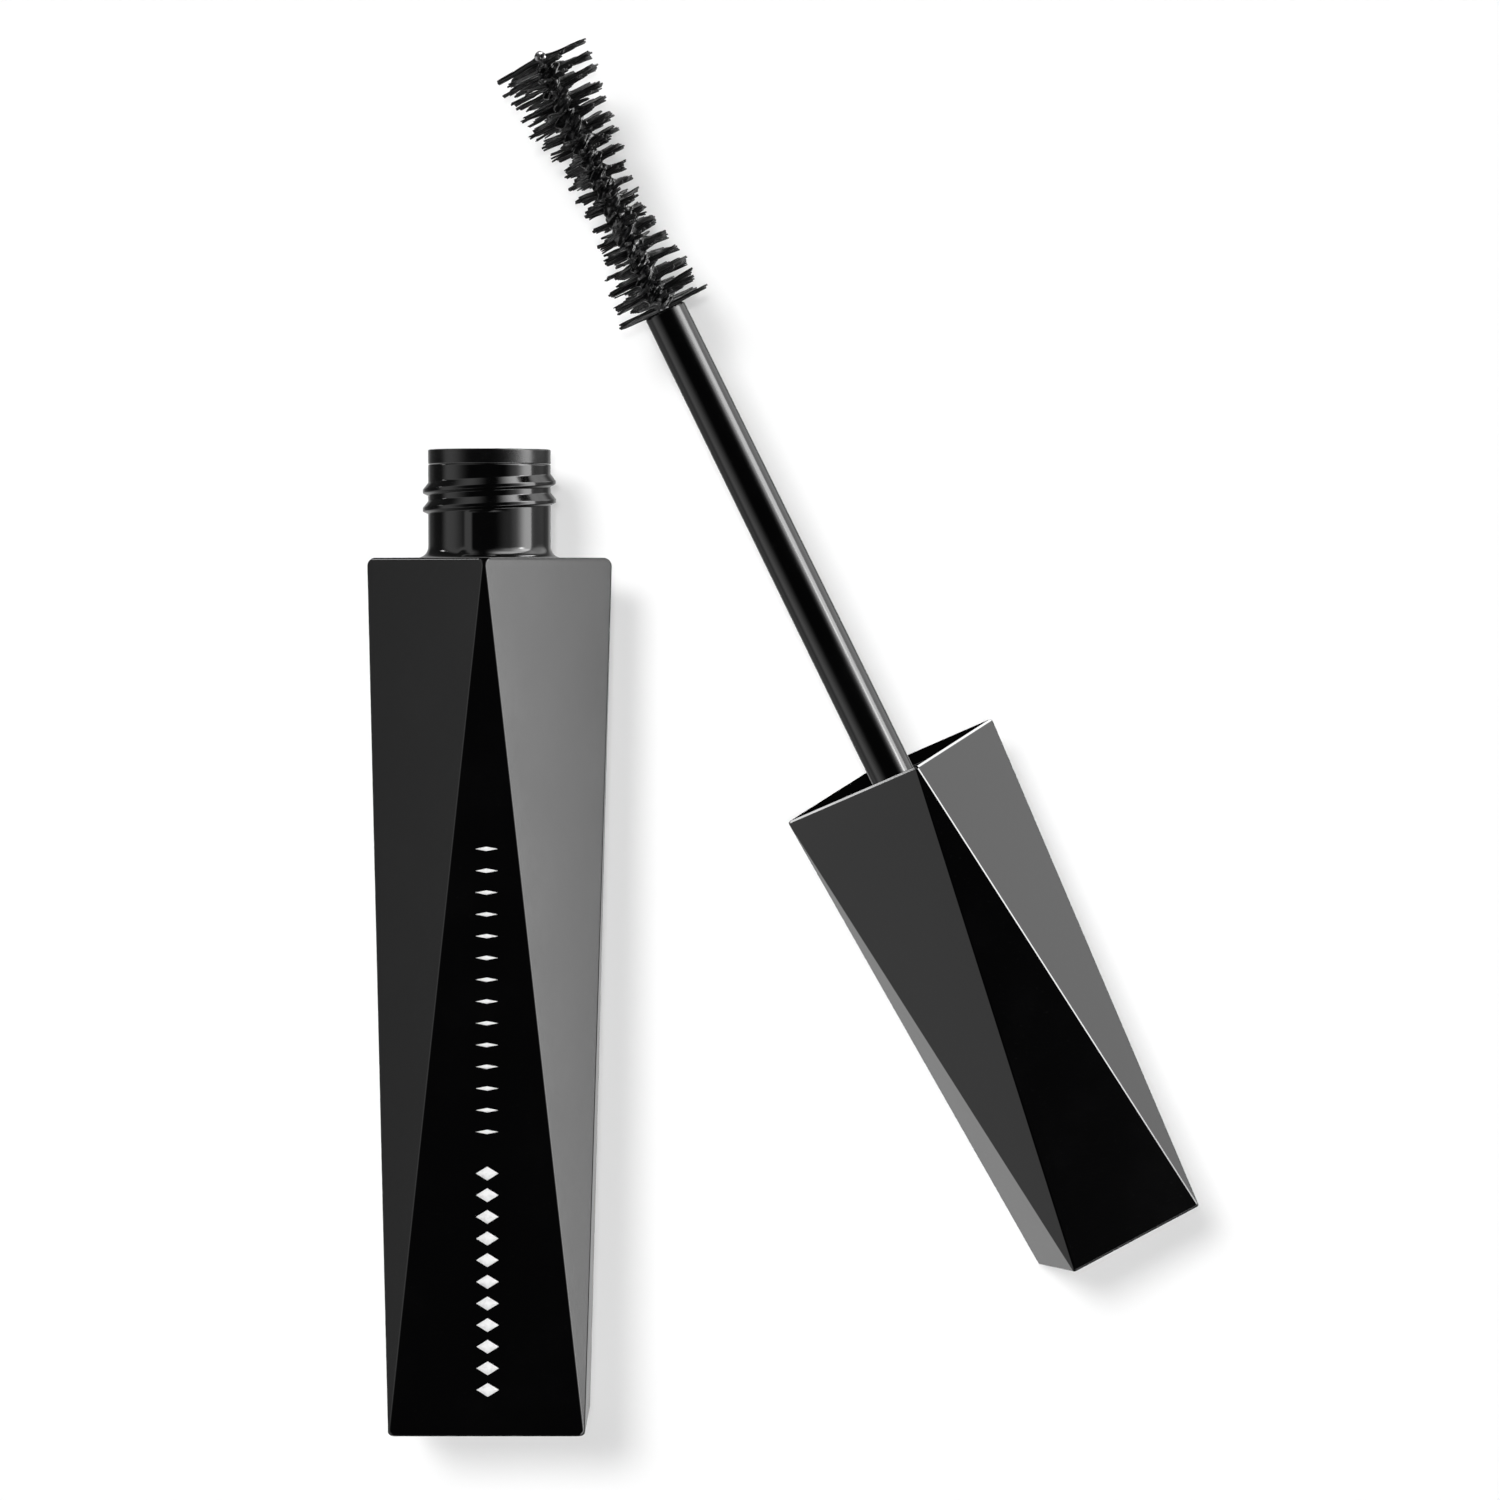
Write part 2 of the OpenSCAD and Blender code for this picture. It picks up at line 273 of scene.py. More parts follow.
class FacetedShaft:
    """A square antiprism with rounded edges, as rings that all have the same columns.

    The even facets (0, 90, 180 and 270 degrees) keep the square whose flats face the axes; the odd ones keep
    the square turned by 45 degrees. A facet's distance from the axis runs evenly along the length from one
    square's flat to the other square's corner, so each facet is a flat triangle. A ring goes round the eight
    corners of the section, each a short arc, with straight stretches between them. A plain bevel reflects as
    a round edge. An even one reflects as a narrow flat, because all its normals point halfway round the edge.
    """

    def __init__(self, straight_half, turned_half, edge_radius, length, even_bevel=False, arc_steps=5):
        self.straight = straight_half - edge_radius
        self.turned = turned_half - edge_radius
        self.edge_radius = edge_radius
        self.length = length
        self.even_bevel = even_bevel
        self.arc_steps = arc_steps
        self.flat_steps = COLUMNS // FACETS - arc_steps
        turn = np.linspace(0, 1, arc_steps + 1)
        self.edge_turn = np.where((turn > 0) & (turn < 1), 0.5, turn) if even_bevel else turn

    def distances(self, share):
        """Distance of the even and the odd facets' core at a share of the way to the turned square."""
        even = self.straight + (self.turned * math.sqrt(2) - self.straight) * share
        odd = self.straight * math.sqrt(2) + (self.turned - self.straight * math.sqrt(2)) * share
        return even, odd

    def slopes(self):
        """How fast the even and the odd facets move away from the axis towards the turned square."""
        low, high = self.distances(0.0), self.distances(1.0)
        return (high[0] - low[0]) / self.length, (high[1] - low[1]) / self.length

    def ring(self, even, odd, rounding):
        """Points (x, y) and outward angles of a ring whose core facets lie at these distances."""
        facet = np.arange(FACETS)
        here = np.where(facet % 2 == 0, even, odd)
        there = np.where(facet % 2 == 0, odd, even)
        facet_angle = facet * TURN / FACETS
        eighth = TURN / FACETS
        offset = (there - here * math.cos(eighth)) / math.sin(eighth)
        cosine, sine = np.cos(facet_angle), np.sin(facet_angle)
        corner = np.stack([here * cosine - offset * sine, here * sine + offset * cosine], -1)
        turn = facet_angle[:, None] + np.linspace(0, eighth, self.arc_steps + 1)[None, :]
        arcs = corner[:, None, :] + rounding * np.stack([np.cos(turn), np.sin(turn)], -1)
        following = np.roll(arcs[:, 0, :], -1, axis=0)
        share = np.linspace(0, 1, self.flat_steps + 1)[1:-1]
        flats = arcs[:, -1:, :] + (following - arcs[:, -1, :])[:, None, :] * share[None, :, None]
        flat_turn = np.broadcast_to(facet_angle[:, None] + eighth, (FACETS, self.flat_steps - 1))
        points = np.concatenate([arcs, flats], axis=1).reshape(-1, 2)
        edge_turn = facet_angle[:, None] + eighth * self.edge_turn[None, :]
        angles = np.concatenate([edge_turn, flat_turn], axis=1).reshape(-1)
        return points, angles

    def odd_share(self, angles):
        """How far round each edge a ring's points are from an even facet (0) to an odd one (1)."""
        return 1 - np.abs(angles * FACETS / TURN % 2 - 1)

    def side_rows(self, start_z, end_z, steps=12, towards_turned=True):
        """Rings up the sides, with normals that lean as each facet leans."""
        rows, normals = [], []
        slope_even, slope_odd = self.slopes()
        direction = 1.0 if towards_turned else -1.0
        for share in np.linspace(0, 1, steps + 1):
            toward = share if towards_turned else 1 - share
            ring, angles = self.ring(*self.distances(toward), self.edge_radius)
            slope = direction * (slope_even + (slope_odd - slope_even) * self.odd_share(angles))
            rows.append(lifted(ring, start_z + (end_z - start_z) * share))
            normals.append(polar(1.0, angles, -slope))
        normals = np.array(normals)
        return np.array(rows), normals / np.linalg.norm(normals, axis=2, keepdims=True)

    def end_rows(self, share, end_z, flat_edge, corner_edge, outward, steps=14):
        """Rings that round the edge of an end, from the sides to the flat face.

        Along the flats the edge is a quarter circle of one radius, and at the corners of another, larger one:
        each facet's inset is its circle's, at the ring's height.
        """
        rows, normals = [], []
        square = self.straight if share == 0 else self.turned
        for angle in np.linspace(0, math.pi / 2, steps + 1):
            below = corner_edge * (1 - math.sin(angle))
            flat_sine = 1 - min(below / flat_edge, 1)
            flat_angle = math.asin(flat_sine)
            side = square - flat_edge * (1 - math.cos(flat_angle))
            corner = square * math.sqrt(2) - corner_edge * (1 - math.cos(angle))
            even, odd = (side, corner) if share == 0 else (corner, side)
            ring, angles = self.ring(even, odd, self.edge_radius)
            odd_share = self.odd_share(angles)
            at_corner = odd_share if share == 0 else 1 - odd_share
            lean = flat_angle + (angle - flat_angle) * at_corner
            if self.even_bevel:
                lean = np.where((lean > 0.1) & (lean < 1.5), math.pi / 4, lean)
            rows.append(lifted(ring, end_z - outward * below))
            normals.append(polar(np.cos(lean), angles, outward * np.sin(lean)))
        return np.array(rows), np.array(normals)


def flat_rows(rings, z_normal):
    """Normals that all point along Z, for rings that lie in a plane."""
    normals = np.zeros_like(rings)
    normals[..., 2] = z_normal
    return normals


def centre_ring(height):
    """A ring whose points all lie on the axis, which closes a surface."""
    return revolve(line((0.0, height)))


# ---------------------------------------------------------------- shader expressions


class Socket:
    """A node's output in an expression: the operators add the Math nodes that work them out."""

    def __init__(self, tree, output):
        self.tree, self.output = tree, output

    def node(self, kind, settings=(), **values):
        """Adds a node, sets its settings first and then its inputs, and returns it."""
        made = self.tree.nodes.new(kind)
        for name, value in dict(settings).items():
            setattr(made, name, value)
        for name, value in values.items():
            socket = made.inputs[int(name[1:])] if name[0] == "_" else made.inputs[name.replace("_", " ")]
            if isinstance(value, Socket):
                self.tree.links.new(value.output, socket)
            else:
                socket.default_value = value
        return made

    def math(self, operation, first, second):
        """One Math node on two values."""
        made = self.node("ShaderNodeMath", {"operation": operation}, _0=first, _1=second)
        return Socket(self.tree, made.outputs[0])

    def __add__(self, other):
        return self.math("ADD", self, other)

    __radd__ = __add__

    def __sub__(self, other):
        return self.math("SUBTRACT", self, other)

    def __rsub__(self, other):
        return self.math("SUBTRACT", other, self)

    def __mul__(self, other):
        return self.math("MULTIPLY", self, other)

    __rmul__ = __mul__

    def step(self, low, high):
        """A smooth S from 0 at low to 1 at high."""
        smooth = {"interpolation_type": "SMOOTHSTEP"}
        made = self.node("ShaderNodeMapRange", smooth, Value=self, From_Min=low, From_Max=high)
        return Socket(self.tree, made.outputs[0])

    def of(self, node, name):
        """Another node's output as a socket of this tree."""
        return Socket(self.tree, node.outputs[name])


class Finish:
    """A node material with one Principled shader, fed by patterns on the piece's Object coordinates."""

    def __init__(self, name):
        self.material = bpy.data.materials.new(name)
        self.material.use_nodes = True
        tree = self.material.node_tree
        self.shader = tree.nodes["Principled BSDF"]
        self.place = Socket(tree, tree.nodes.new("ShaderNodeTexCoord").outputs["Object"])

    def noise(self, scale, detail=3.0, roughness=0.5):
        """Noise on the piece, with its scale in bumps per metre."""
        values = {"Scale": scale, "Detail": detail, "Roughness": roughness}
        return self.place.of(self.place.node("ShaderNodeTexNoise", Vector=self.place, **values), "Fac")

    def feed(self, name, value):
        """Links a value that varies over the piece to one of the shader's inputs."""
        self.place.tree.links.new(value.output, self.shader.inputs[name])

    def fix(self, **values):
        """Sets the shader's inputs that are the same all over the piece."""
        for name, value in values.items():
            self.shader.inputs[name.replace("_", " ")].default_value = value

    def tint(self, factor, low, high, name="Base Color"):
        """Feeds a colour between two others."""
        values = {"_0": factor, "_6": (*low, 1.0), "_7": (*high, 1.0)}
        made = self.place.node("ShaderNodeMix", {"data_type": "RGBA"}, **values)
        self.feed(name, Socket(self.place.tree, made.outputs[2]))

    def bump(self, height, strength, distance):
        """Feeds a height to the shader's normal through a Bump node, with its distance in metres."""
        made = self.place.node("ShaderNodeBump", Height=height, Strength=strength, Distance=distance)
        self.feed("Normal", self.place.of(made, "Normal"))


def shade(colour, gain, lift=0.0):
    """A colour's own lighter or darker shade: each channel times the gain, plus the lift."""
    return tuple(value * gain + lift for value in colour)


def polished_plastic(name, colour, rough, grain):
    """Moulded black plastic: a slight orange peel, a soft haze of handling and fine dust specks."""
    finish = Finish(name)
    haze = finish.noise(140.0, 4.0, 0.6)
    peel, fine = finish.noise(900.0, 2.0), finish.noise(9000.0, 2.0)
    specks = finish.noise(3200.0, 1.0).step(0.72, 0.78)
    finish.feed("Roughness", rough + haze.step(0.35, 0.75) * grain + fine * grain * 0.5 + specks * 0.1)
    finish.tint(haze.step(0.45, 0.8) * 0.5 + specks * 0.5, colour, shade(colour, 1.6, 0.0004))
    finish.bump(peel * 0.5 + fine * 0.5, 0.4, 0.000005)
    finish.fix(IOR=1.5)
    return finish.material


def satin_plastic(name, colour, rough, ior=1.5):
    """Soft satin plastic with a fine spark-eroded grain."""
    finish = Finish(name)
    grain, haze = finish.noise(5200.0), finish.noise(260.0)
    finish.feed("Roughness", rough + haze.step(0.3, 0.7) * 0.12 + grain * 0.08)
    finish.tint(haze.step(0.4, 0.8), colour, shade(colour, 1.5, 0.0005))
    finish.bump(grain, 0.35, 0.00001)
    finish.fix(IOR=ior)
    return finish.material


def wet_cream(name, colour):
    """Thick wet paste: almost mirror-smooth on its lumps, duller where it has begun to dry."""
    finish = Finish(name)
    lumps = finish.noise(2400.0, 4.0, 0.6)
    drying = finish.noise(900.0, 2.0).step(0.5, 0.7)
    finish.feed("Roughness", 0.1 + drying * 0.35 + lumps * 0.1)
    finish.tint(drying, colour, shade(colour, 2.0, 0.001))
    finish.bump(lumps, 0.8, 0.00008)
    finish.fix(Coat_Weight=0.6, Coat_Roughness=0.05)
    return finish.material


def coated_fibre(name, colour):
    """Nylon fibre under a film of paste: black, with uneven dull and shiny patches."""
    finish = Finish(name)
    patches = finish.noise(1800.0)
    finish.feed("Roughness", 0.35 + patches.step(0.35, 0.65) * 0.3)
    finish.tint(patches.step(0.4, 0.7), colour, shade(colour, 1.6, 0.001))
    finish.bump(patches, 0.5, 0.00003)
    return finish.material


def filmed_steel(name, colour):
    """Bright twisted wire with drawing marks and patches of black paste left on it."""
    finish = Finish(name)
    marks = finish.noise(6000.0, 2.0)
    paste = finish.noise(1300.0).step(0.42, 0.55)
    finish.feed("Metallic", 1.0 - paste)
    finish.feed("Roughness", 0.22 + marks * 0.15 + paste * 0.1)
    finish.tint(paste, colour, (0.008, 0.008, 0.008))
    finish.bump(marks, 0.3, 0.000006)
    return finish.material


def soft_rubber(name, colour):
    """Matt washer material with a faint bloom."""
    finish = Finish(name)
    bloom = finish.noise(1500.0, 4.0, 0.65)
    finish.feed("Roughness", 0.6 + bloom * 0.25)
    finish.tint(bloom.step(0.4, 0.8), colour, shade(colour, 1.4, 0.01))
    finish.bump(bloom, 0.4, 0.00001)
    return finish.material


def printed_ink(name, colour):
    """Pad-printed white ink with a slightly broken, chalky surface."""
    finish = Finish(name)
    cover = finish.noise(2600.0)
    finish.feed("Roughness", 0.42 + cover * 0.2)
    finish.tint(cover.step(0.45, 0.75), colour, shade(colour, 0.86))
    finish.bump(cover, 0.3, 0.000006)
    return finish.material


# ---------------------------------------------------------------- settings


def length(name, description, default):
    """A size property in millimetres."""
    return FloatProperty(name=name, description=description, default=default, min=0.0)


def metres(name, description, default):
    """A length or a place of the stage, in metres."""
    return FloatProperty(name=name, description=description, default=default, unit="LENGTH")


def light_strength(name, description, default):
    """A light's strength, in watts per square metre."""
    return FloatProperty(name=name, description=description, default=default, min=0.0)


def colour(name, description, default):
    """A colour property."""
    settings = {"subtype": "COLOR", "size": 3, "min": 0.0, "max": 1.0}
    return FloatVectorProperty(name=name, description=description, default=default, **settings)


class BottleSizes(bpy.types.PropertyGroup):
    """Sizes of the bottle and of what sits in its neck, in millimetres."""

    height: length("Body height", "Base to shoulder", 78.0)
    base_side: length("Base side", "Flat to flat at the base", 17.5)
    shoulder_side: length("Shoulder side", "Flat to flat at the shoulder", 15.7)
    facet_edge: length("Facet edge", "Radius between two facets", 0.3)
    shoulder_edge: length("Shoulder edge", "Radius round the shoulder", 0.75)
    base_edge: length("Base edge", "Radius round the base", 0.6)
    neck_height: length("Neck height", "Shoulder to the top of the wiper's flange", 9.7)
    neck_diameter: length("Neck diameter", "Outside, at the thread's root", 11.0)
    collar: length("Collar", "Radius where the neck grows out of the shoulder", 1.0)
    thread_depth: length("Thread depth", "How far the ridge stands out", 0.48)
    thread_pitch: length("Thread pitch", "Rise in one turn", 1.65)
    thread_turns: FloatProperty(name="Thread turns", description="Length of the thread", default=1.7)
    flange: length("Wiper flange", "Thickness of the wiper's flange", 1.3)
    bore_radius: length("Neck bore", "Radius of the bore that holds the wiper", 4.3)
    orifice: length("Orifice", "Diameter of the wiper's scraping lip", 4.3)


class ApplicatorSizes(bpy.types.PropertyGroup):
    """Sizes of the cap, the rod and the brush, in millimetres."""

    rim_side: length("Rim side", "Flat to flat at the open rim", 15.0)
    crown_side: length("Crown side", "Flat to flat at the closed end", 13.0)
    facet_edge: length("Facet edge", "Radius between two facets", 0.25)
    end_edge: length("End edge", "Radius round the rim and the closed end", 0.25)
    wall: length("Wall", "Thickness of the rim", 0.7)
    roll: FloatProperty(
        name="Roll", description="Roll of the cap as it lies", default=math.radians(11), unit="ROTATION"
    )
    rod_diameter: length("Rod diameter", "Diameter at the cap", 4.0)
    brush_start: length("Brush start", "Rim to the start of the brush", 46.0)
    brush_length: length("Brush length", "Length of the bristles", 25.0)
    brush_end: length("Brush ends", "Diameter at both ends", 9.3)
    brush_waist: length("Brush waist", "Diameter at the waist", 5.8)
    wire_pitch: length("Wire pitch", "One full twist of the wire", 2.9)
    fibres: IntProperty(name="Fibres", description="Number of bristle ends", default=1650)
    seed: IntProperty(name="Seed", description="Seed of the fibres' scatter", default=7)


class Finishes(bpy.types.PropertyGroup):
    """Colours of the materials."""

    bottle: colour("Bottle", "Polished plastic of the bottle", (0.0012, 0.0012, 0.0013))
    cap: colour("Cap", "Polished plastic of the cap", (0.0008, 0.0008, 0.0009))
    wiper: colour("Wiper", "Soft plastic of the wiper", (0.0025, 0.0025, 0.0026))
    liner: colour("Inner cap", "Satin plastic of the inner cap", (0.001, 0.001, 0.001))
    cream: colour("Cream", "The product", (0.002, 0.002, 0.0022))
    washer: colour("Washer", "Sealing washer", (0.12, 0.12, 0.125))
    wire: colour("Wire", "Steel of the brush's core", (0.5, 0.5, 0.51))
    fibre: colour("Fibre", "Bristles under their film of paste", (0.0015, 0.0015, 0.0016))
    ink: colour("Ink", "The printed mark", (0.85, 0.85, 0.85))
    floor: colour("Floor", "The table", (0.93, 0.93, 0.93))


# ---------------------------------------------------------------- the bottle


def thread_height(angle, height, sizes, neck_base):
    """How far the thread stands out at an angle and a height.

    The ridge's centre line climbs by one pitch a turn from its start. Its section has a long upper flank, a
    narrow crest and a steep lower flank, and it fades in and out over about an eighth of a turn.
    """
    start_angle, start_height = math.radians(150), neck_base + 4.14
    upper_flank, crest, lower_flank = 0.62, 0.3, 0.22
    fade_in, fade_out = 0.1, 0.14
    end_turn = sizes.thread_turns
    ridge = np.zeros_like(height)
    for lap in range(3):
        turn = (angle - start_angle) % TURN / TURN + lap
        centre = start_height + sizes.thread_pitch * turn
        above = height - centre
        rise = np.clip((above + crest / 2 + lower_flank) / lower_flank, 0, 1)
        fall = np.clip((crest / 2 + upper_flank - above) / upper_flank, 0, 1)
        fade = smooth_step(turn, 0.0, fade_in) * (1 - smooth_step(turn, end_turn - fade_out, end_turn))
        ridge = np.maximum(ridge, np.minimum(rise, fall) * fade)
    return sizes.thread_depth * ridge


def stop_height(angle, height, neck_base):
    """How far the stop lug stands out.

    It has a steep left face, a gentle fall on the right and a short foot below; the angles are in degrees.
    """
    degrees = np.degrees(angle) % 360
    lug_reach, lug_top = 0.3, 4.3
    side = np.clip((degrees - 249.5) / 7.5, 0, 1) * (1 - smooth_step(degrees, 259, 292))
    foot = smooth_step(degrees, 243, 252) * (1 - smooth_step(degrees, 254, 262))
    up = 1 - smooth_step(height, neck_base + lug_top - 0.3, neck_base + lug_top)
    low = 1 - smooth_step(height, neck_base + 0.3, neck_base + 1.1)
    return lug_reach * np.maximum(side * up, foot * low)


def bottle_shaft(sizes):
    """The bottle's faceted body between its two rounded ends."""
    length = sizes.height - sizes.base_edge - sizes.shoulder_edge
    return FacetedShaft(sizes.base_side / 2, sizes.shoulder_side / 2, sizes.facet_edge, length)


def bottle_grid(sizes):
    """The bottle as one closed grid: base, facets, shoulder, collar, threaded neck, bore and cavity."""
    shaft = bottle_shaft(sizes)
    top = sizes.height
    base, base_normals = shaft.end_rows(0, 0.0, sizes.base_edge * 0.7, sizes.base_edge, -1.0)
    sides, side_normals = shaft.side_rows(sizes.base_edge, top - sizes.shoulder_edge)
    shoulder, shoulder_normals = shaft.end_rows(1, top, sizes.shoulder_edge * 0.35, sizes.shoulder_edge, 1.0)
    neck_r = sizes.neck_diameter / 2
    neck_top = top + sizes.neck_height - sizes.flange - 0.03
    lead, bore_lead = 0.08, 0.15
    thread_low, thread_high = top + 3.4, top + 8.0
    collar = arc(neck_r + sizes.collar, top + sizes.collar, sizes.collar, -90, -180, 8)
    heights = joined(
        np.linspace(top + sizes.collar, thread_low, 10)[1:],
        np.linspace(thread_low, thread_high, 110)[1:],
        np.linspace(thread_high, neck_top - lead, 4)[1:],
    )
    lip = line((neck_r - lead, neck_top), (neck_r - 0.3, neck_top))
    outer = revolve(joined(collar, wall(neck_r, heights), lip))
    angle = np.broadcast_to(ring_angles(), outer.shape[:2])
    raised = thread_height(angle, outer[..., 2], sizes, top) + stop_height(angle, outer[..., 2], top)
    raised[:3] = 0
    raised[-2:] = 0
    push_out(outer, raised)
    bore, cavity_high_r, cavity_low_r = sizes.bore_radius, 6.4, 7.3
    floor, floor_round, flat_r = 1.8, 2.0, 5.2
    inner = revolve(
        joined(
            line((bore + bore_lead, neck_top), (bore, neck_top - bore_lead), (bore, top - 1.6)),
            line((cavity_high_r, top - 3.1), (cavity_low_r, 3.9)),
            arc(flat_r, floor + floor_round, floor_round, -10, -90, 6),
        )
    )
    grid = joined(centre_ring(0.0), base[::-1], sides, shoulder, outer, inner, centre_ring(floor))
    known = joined(
        flat_rows(centre_ring(0.0), -1.0),
        base_normals[::-1],
        side_normals,
        shoulder_normals,
        flat_rows(outer[:1], 1.0),
    )
    normals = grid_normals(grid)
    normals[: len(known)] = known
    return grid, normals


class MASCARA_OT_bottle(bpy.types.Operator):
    """Make the faceted bottle with its threaded neck"""

    bl_idname = "mascara.bottle"
    bl_label = "Bottle"

    def execute(self, context):
        scene = context.scene
        sizes = scene.mascara_bottle
        material = polished_plastic("bottle_gloss", scene.mascara_finishes.bottle, 0.09, 0.05)
        grid, normals = bottle_grid(sizes)
        piece = grid_object("bottle_shell", grid, bottle_seat(), material, normals)
        finish_piece(piece, "bottle", "bottle_plastic", "bottle")
        return {"FINISHED"}


class MASCARA_OT_wiper(bpy.types.Operator):
    """Make the wiper: a flange on the neck, a tube in it and a cone down to the scraping lip"""

    bl_idname = "mascara.wiper"
    bl_label = "Wiper"

    def execute(self, context):
        scene = context.scene
        sizes = scene.mascara_bottle
        top = sizes.height + sizes.neck_height
        outer, bore, lip = sizes.neck_diameter / 2, sizes.bore_radius - 0.02, sizes.orifice / 2
        inner = bore - 0.8
        edge, under_edge = 0.14, 0.06
        under, tube_end, lip_end = top - sizes.flange + 0.02, top - 7.3, top - 9.5
        profile = joined(
            arc(outer - edge, top - edge, edge, 90, 0),
            arc(outer - under_edge, under + under_edge, under_edge, 0, -90, 3),
            line((bore, under), (bore, tube_end), (lip + 0.5, lip_end + 0.05)),
            line((lip + 0.42, lip_end), (lip + 0.08, lip_end), (lip, lip_end + 0.08)),
            line((inner - 0.1, tube_end + 0.3), (inner, tube_end + 0.6)),
            line((inner, top - 0.5), (inner + 0.1, top - 0.2)),
            arc(inner + 0.4, top - 0.3, 0.3, 165, 90),
        )
        grid = revolve(joined(profile, profile[:1]))
        normals = grid_normals(grid)
        normals[0] = normals[-1] = flat_rows(grid[:1], 1.0)[0]
        material = satin_plastic("wiper_satin", scene.mascara_finishes.wiper, 0.12)
        piece = grid_object("wiper_insert", grid, bottle_seat(), material, normals)
        finish_piece(piece, "bottle", "wiper_plastic", "wiper")
        return {"FINISHED"}


class MASCARA_OT_cream(bpy.types.Operator):
    """Make the product that clings to the bottle's walls round the hollow the brush has left"""

    bl_idname = "mascara.cream"
    bl_label = "Cream"

    def execute(self, context):
        scene = context.scene
        top = scene.mascara_bottle.height - 4.6
        rng = np.random.default_rng(3)
        rows, columns, track_radius = 90, 120, 4.95
        outer = line((0.0, 1.9), (5.1, 1.9), (6.9, 3.9), (6.4, top - 0.4))
        heights = np.linspace(top, 5.2, rows)
        grid = revolve(joined(outer, wall(track_radius, heights), line((0.0, 4.9))), columns)
        angle = ring_angles(columns)
        wave = np.zeros((rows, columns))
        for _ in range(14):
            around, along = rng.integers(1, 9), rng.uniform(0.2, 2.2)
            phase = rng.uniform(0, TURN)
            wave += np.sin(around * angle[None, :] + along * heights[:, None] + phase)
        radius = track_radius + 0.05 * np.clip(wave, -4, 4)
        grid[len(outer) : len(outer) + rows] = polar(radius, angle, heights[:, None])
        material = wet_cream("cream_in_bottle", scene.mascara_finishes.cream)
        piece = grid_object("cream_fill", grid, bottle_seat(), material)
        finish_piece(piece, "bottle", "cream", "mascara_cream")
        return {"FINISHED"}


# ---------------------------------------------------------------- the printed mark


def ribbon(points_xz, height_at, thickness):
    """A thin raised patch: a closed outline in (x, z), its top and its skirt down into the facet."""
    x, z = points_xz.T
    depth = height_at(z)
    top = np.stack([x, -(depth + thickness), z], -1)
    low = np.stack([x, -(depth - 0.02), z], -1)
    centre = np.broadcast_to(top.mean(axis=0), top.shape)
    under = np.broadcast_to(low.mean(axis=0), low.shape)
    return np.stack([under, low, top, centre])


def lozenge_outline(centre_z, half_length, steps=6):
    """The outline of a lozenge across the bottle: each side a straight line between two of its four tips."""
    centre_x, half_width = 0.14, 1.0
    share = np.linspace(0, 1, steps + 1)[:-1, None]
    tips = np.array([[1.0, 0.0], [0.0, 1.0], [-1.0, 0.0], [0.0, -1.0]])
    sides = [tips[side] * (1 - share) + tips[(side + 1) % 4] * share for side in range(4)]
    return joined(*sides) * [half_width, half_length] + [centre_x, centre_z]


class MASCARA_OT_mark(bpy.types.Operator):
    """Make the plain printed mark on the front facet: a row of solid lozenges and a row of slim ones"""

    bl_idname = "mascara.mark"
    bl_label = "Printed mark"

    def execute(self, context):
        scene = context.scene
        sizes = scene.mascara_bottle
        shaft = bottle_shaft(sizes)
        low = shaft.distances(0.0)[0] + sizes.facet_edge
        slope = shaft.slopes()[0]

        def facet_depth(height):
            return low + slope * (height - sizes.base_edge)

        spacing, ink = 1.93, 0.012
        outlines = [lozenge_outline(4.2 + spacing * place, 0.62) for place in range(11)]
        outlines += [lozenge_outline(27.2 + spacing * place, 0.2) for place in range(14)]
        patches = np.array([ribbon(outline, facet_depth, ink) for outline in outlines])
        count, rows, columns = patches.shape[:3]
        quads = repeated(grid_quads(rows, columns), rows * columns, count)
        merged, whole, triangles, *_ = weld(patches.reshape(-1, 3), quads)
        material = printed_ink("white_ink", scene.mascara_finishes.ink)
        piece = mesh_object("front_mark", bottle_seat().points(merged), whole, triangles, None, material)
        finish_piece(piece, "bottle", "bottle_plastic")
        return {"FINISHED"}


# ---------------------------------------------------------------- the cap


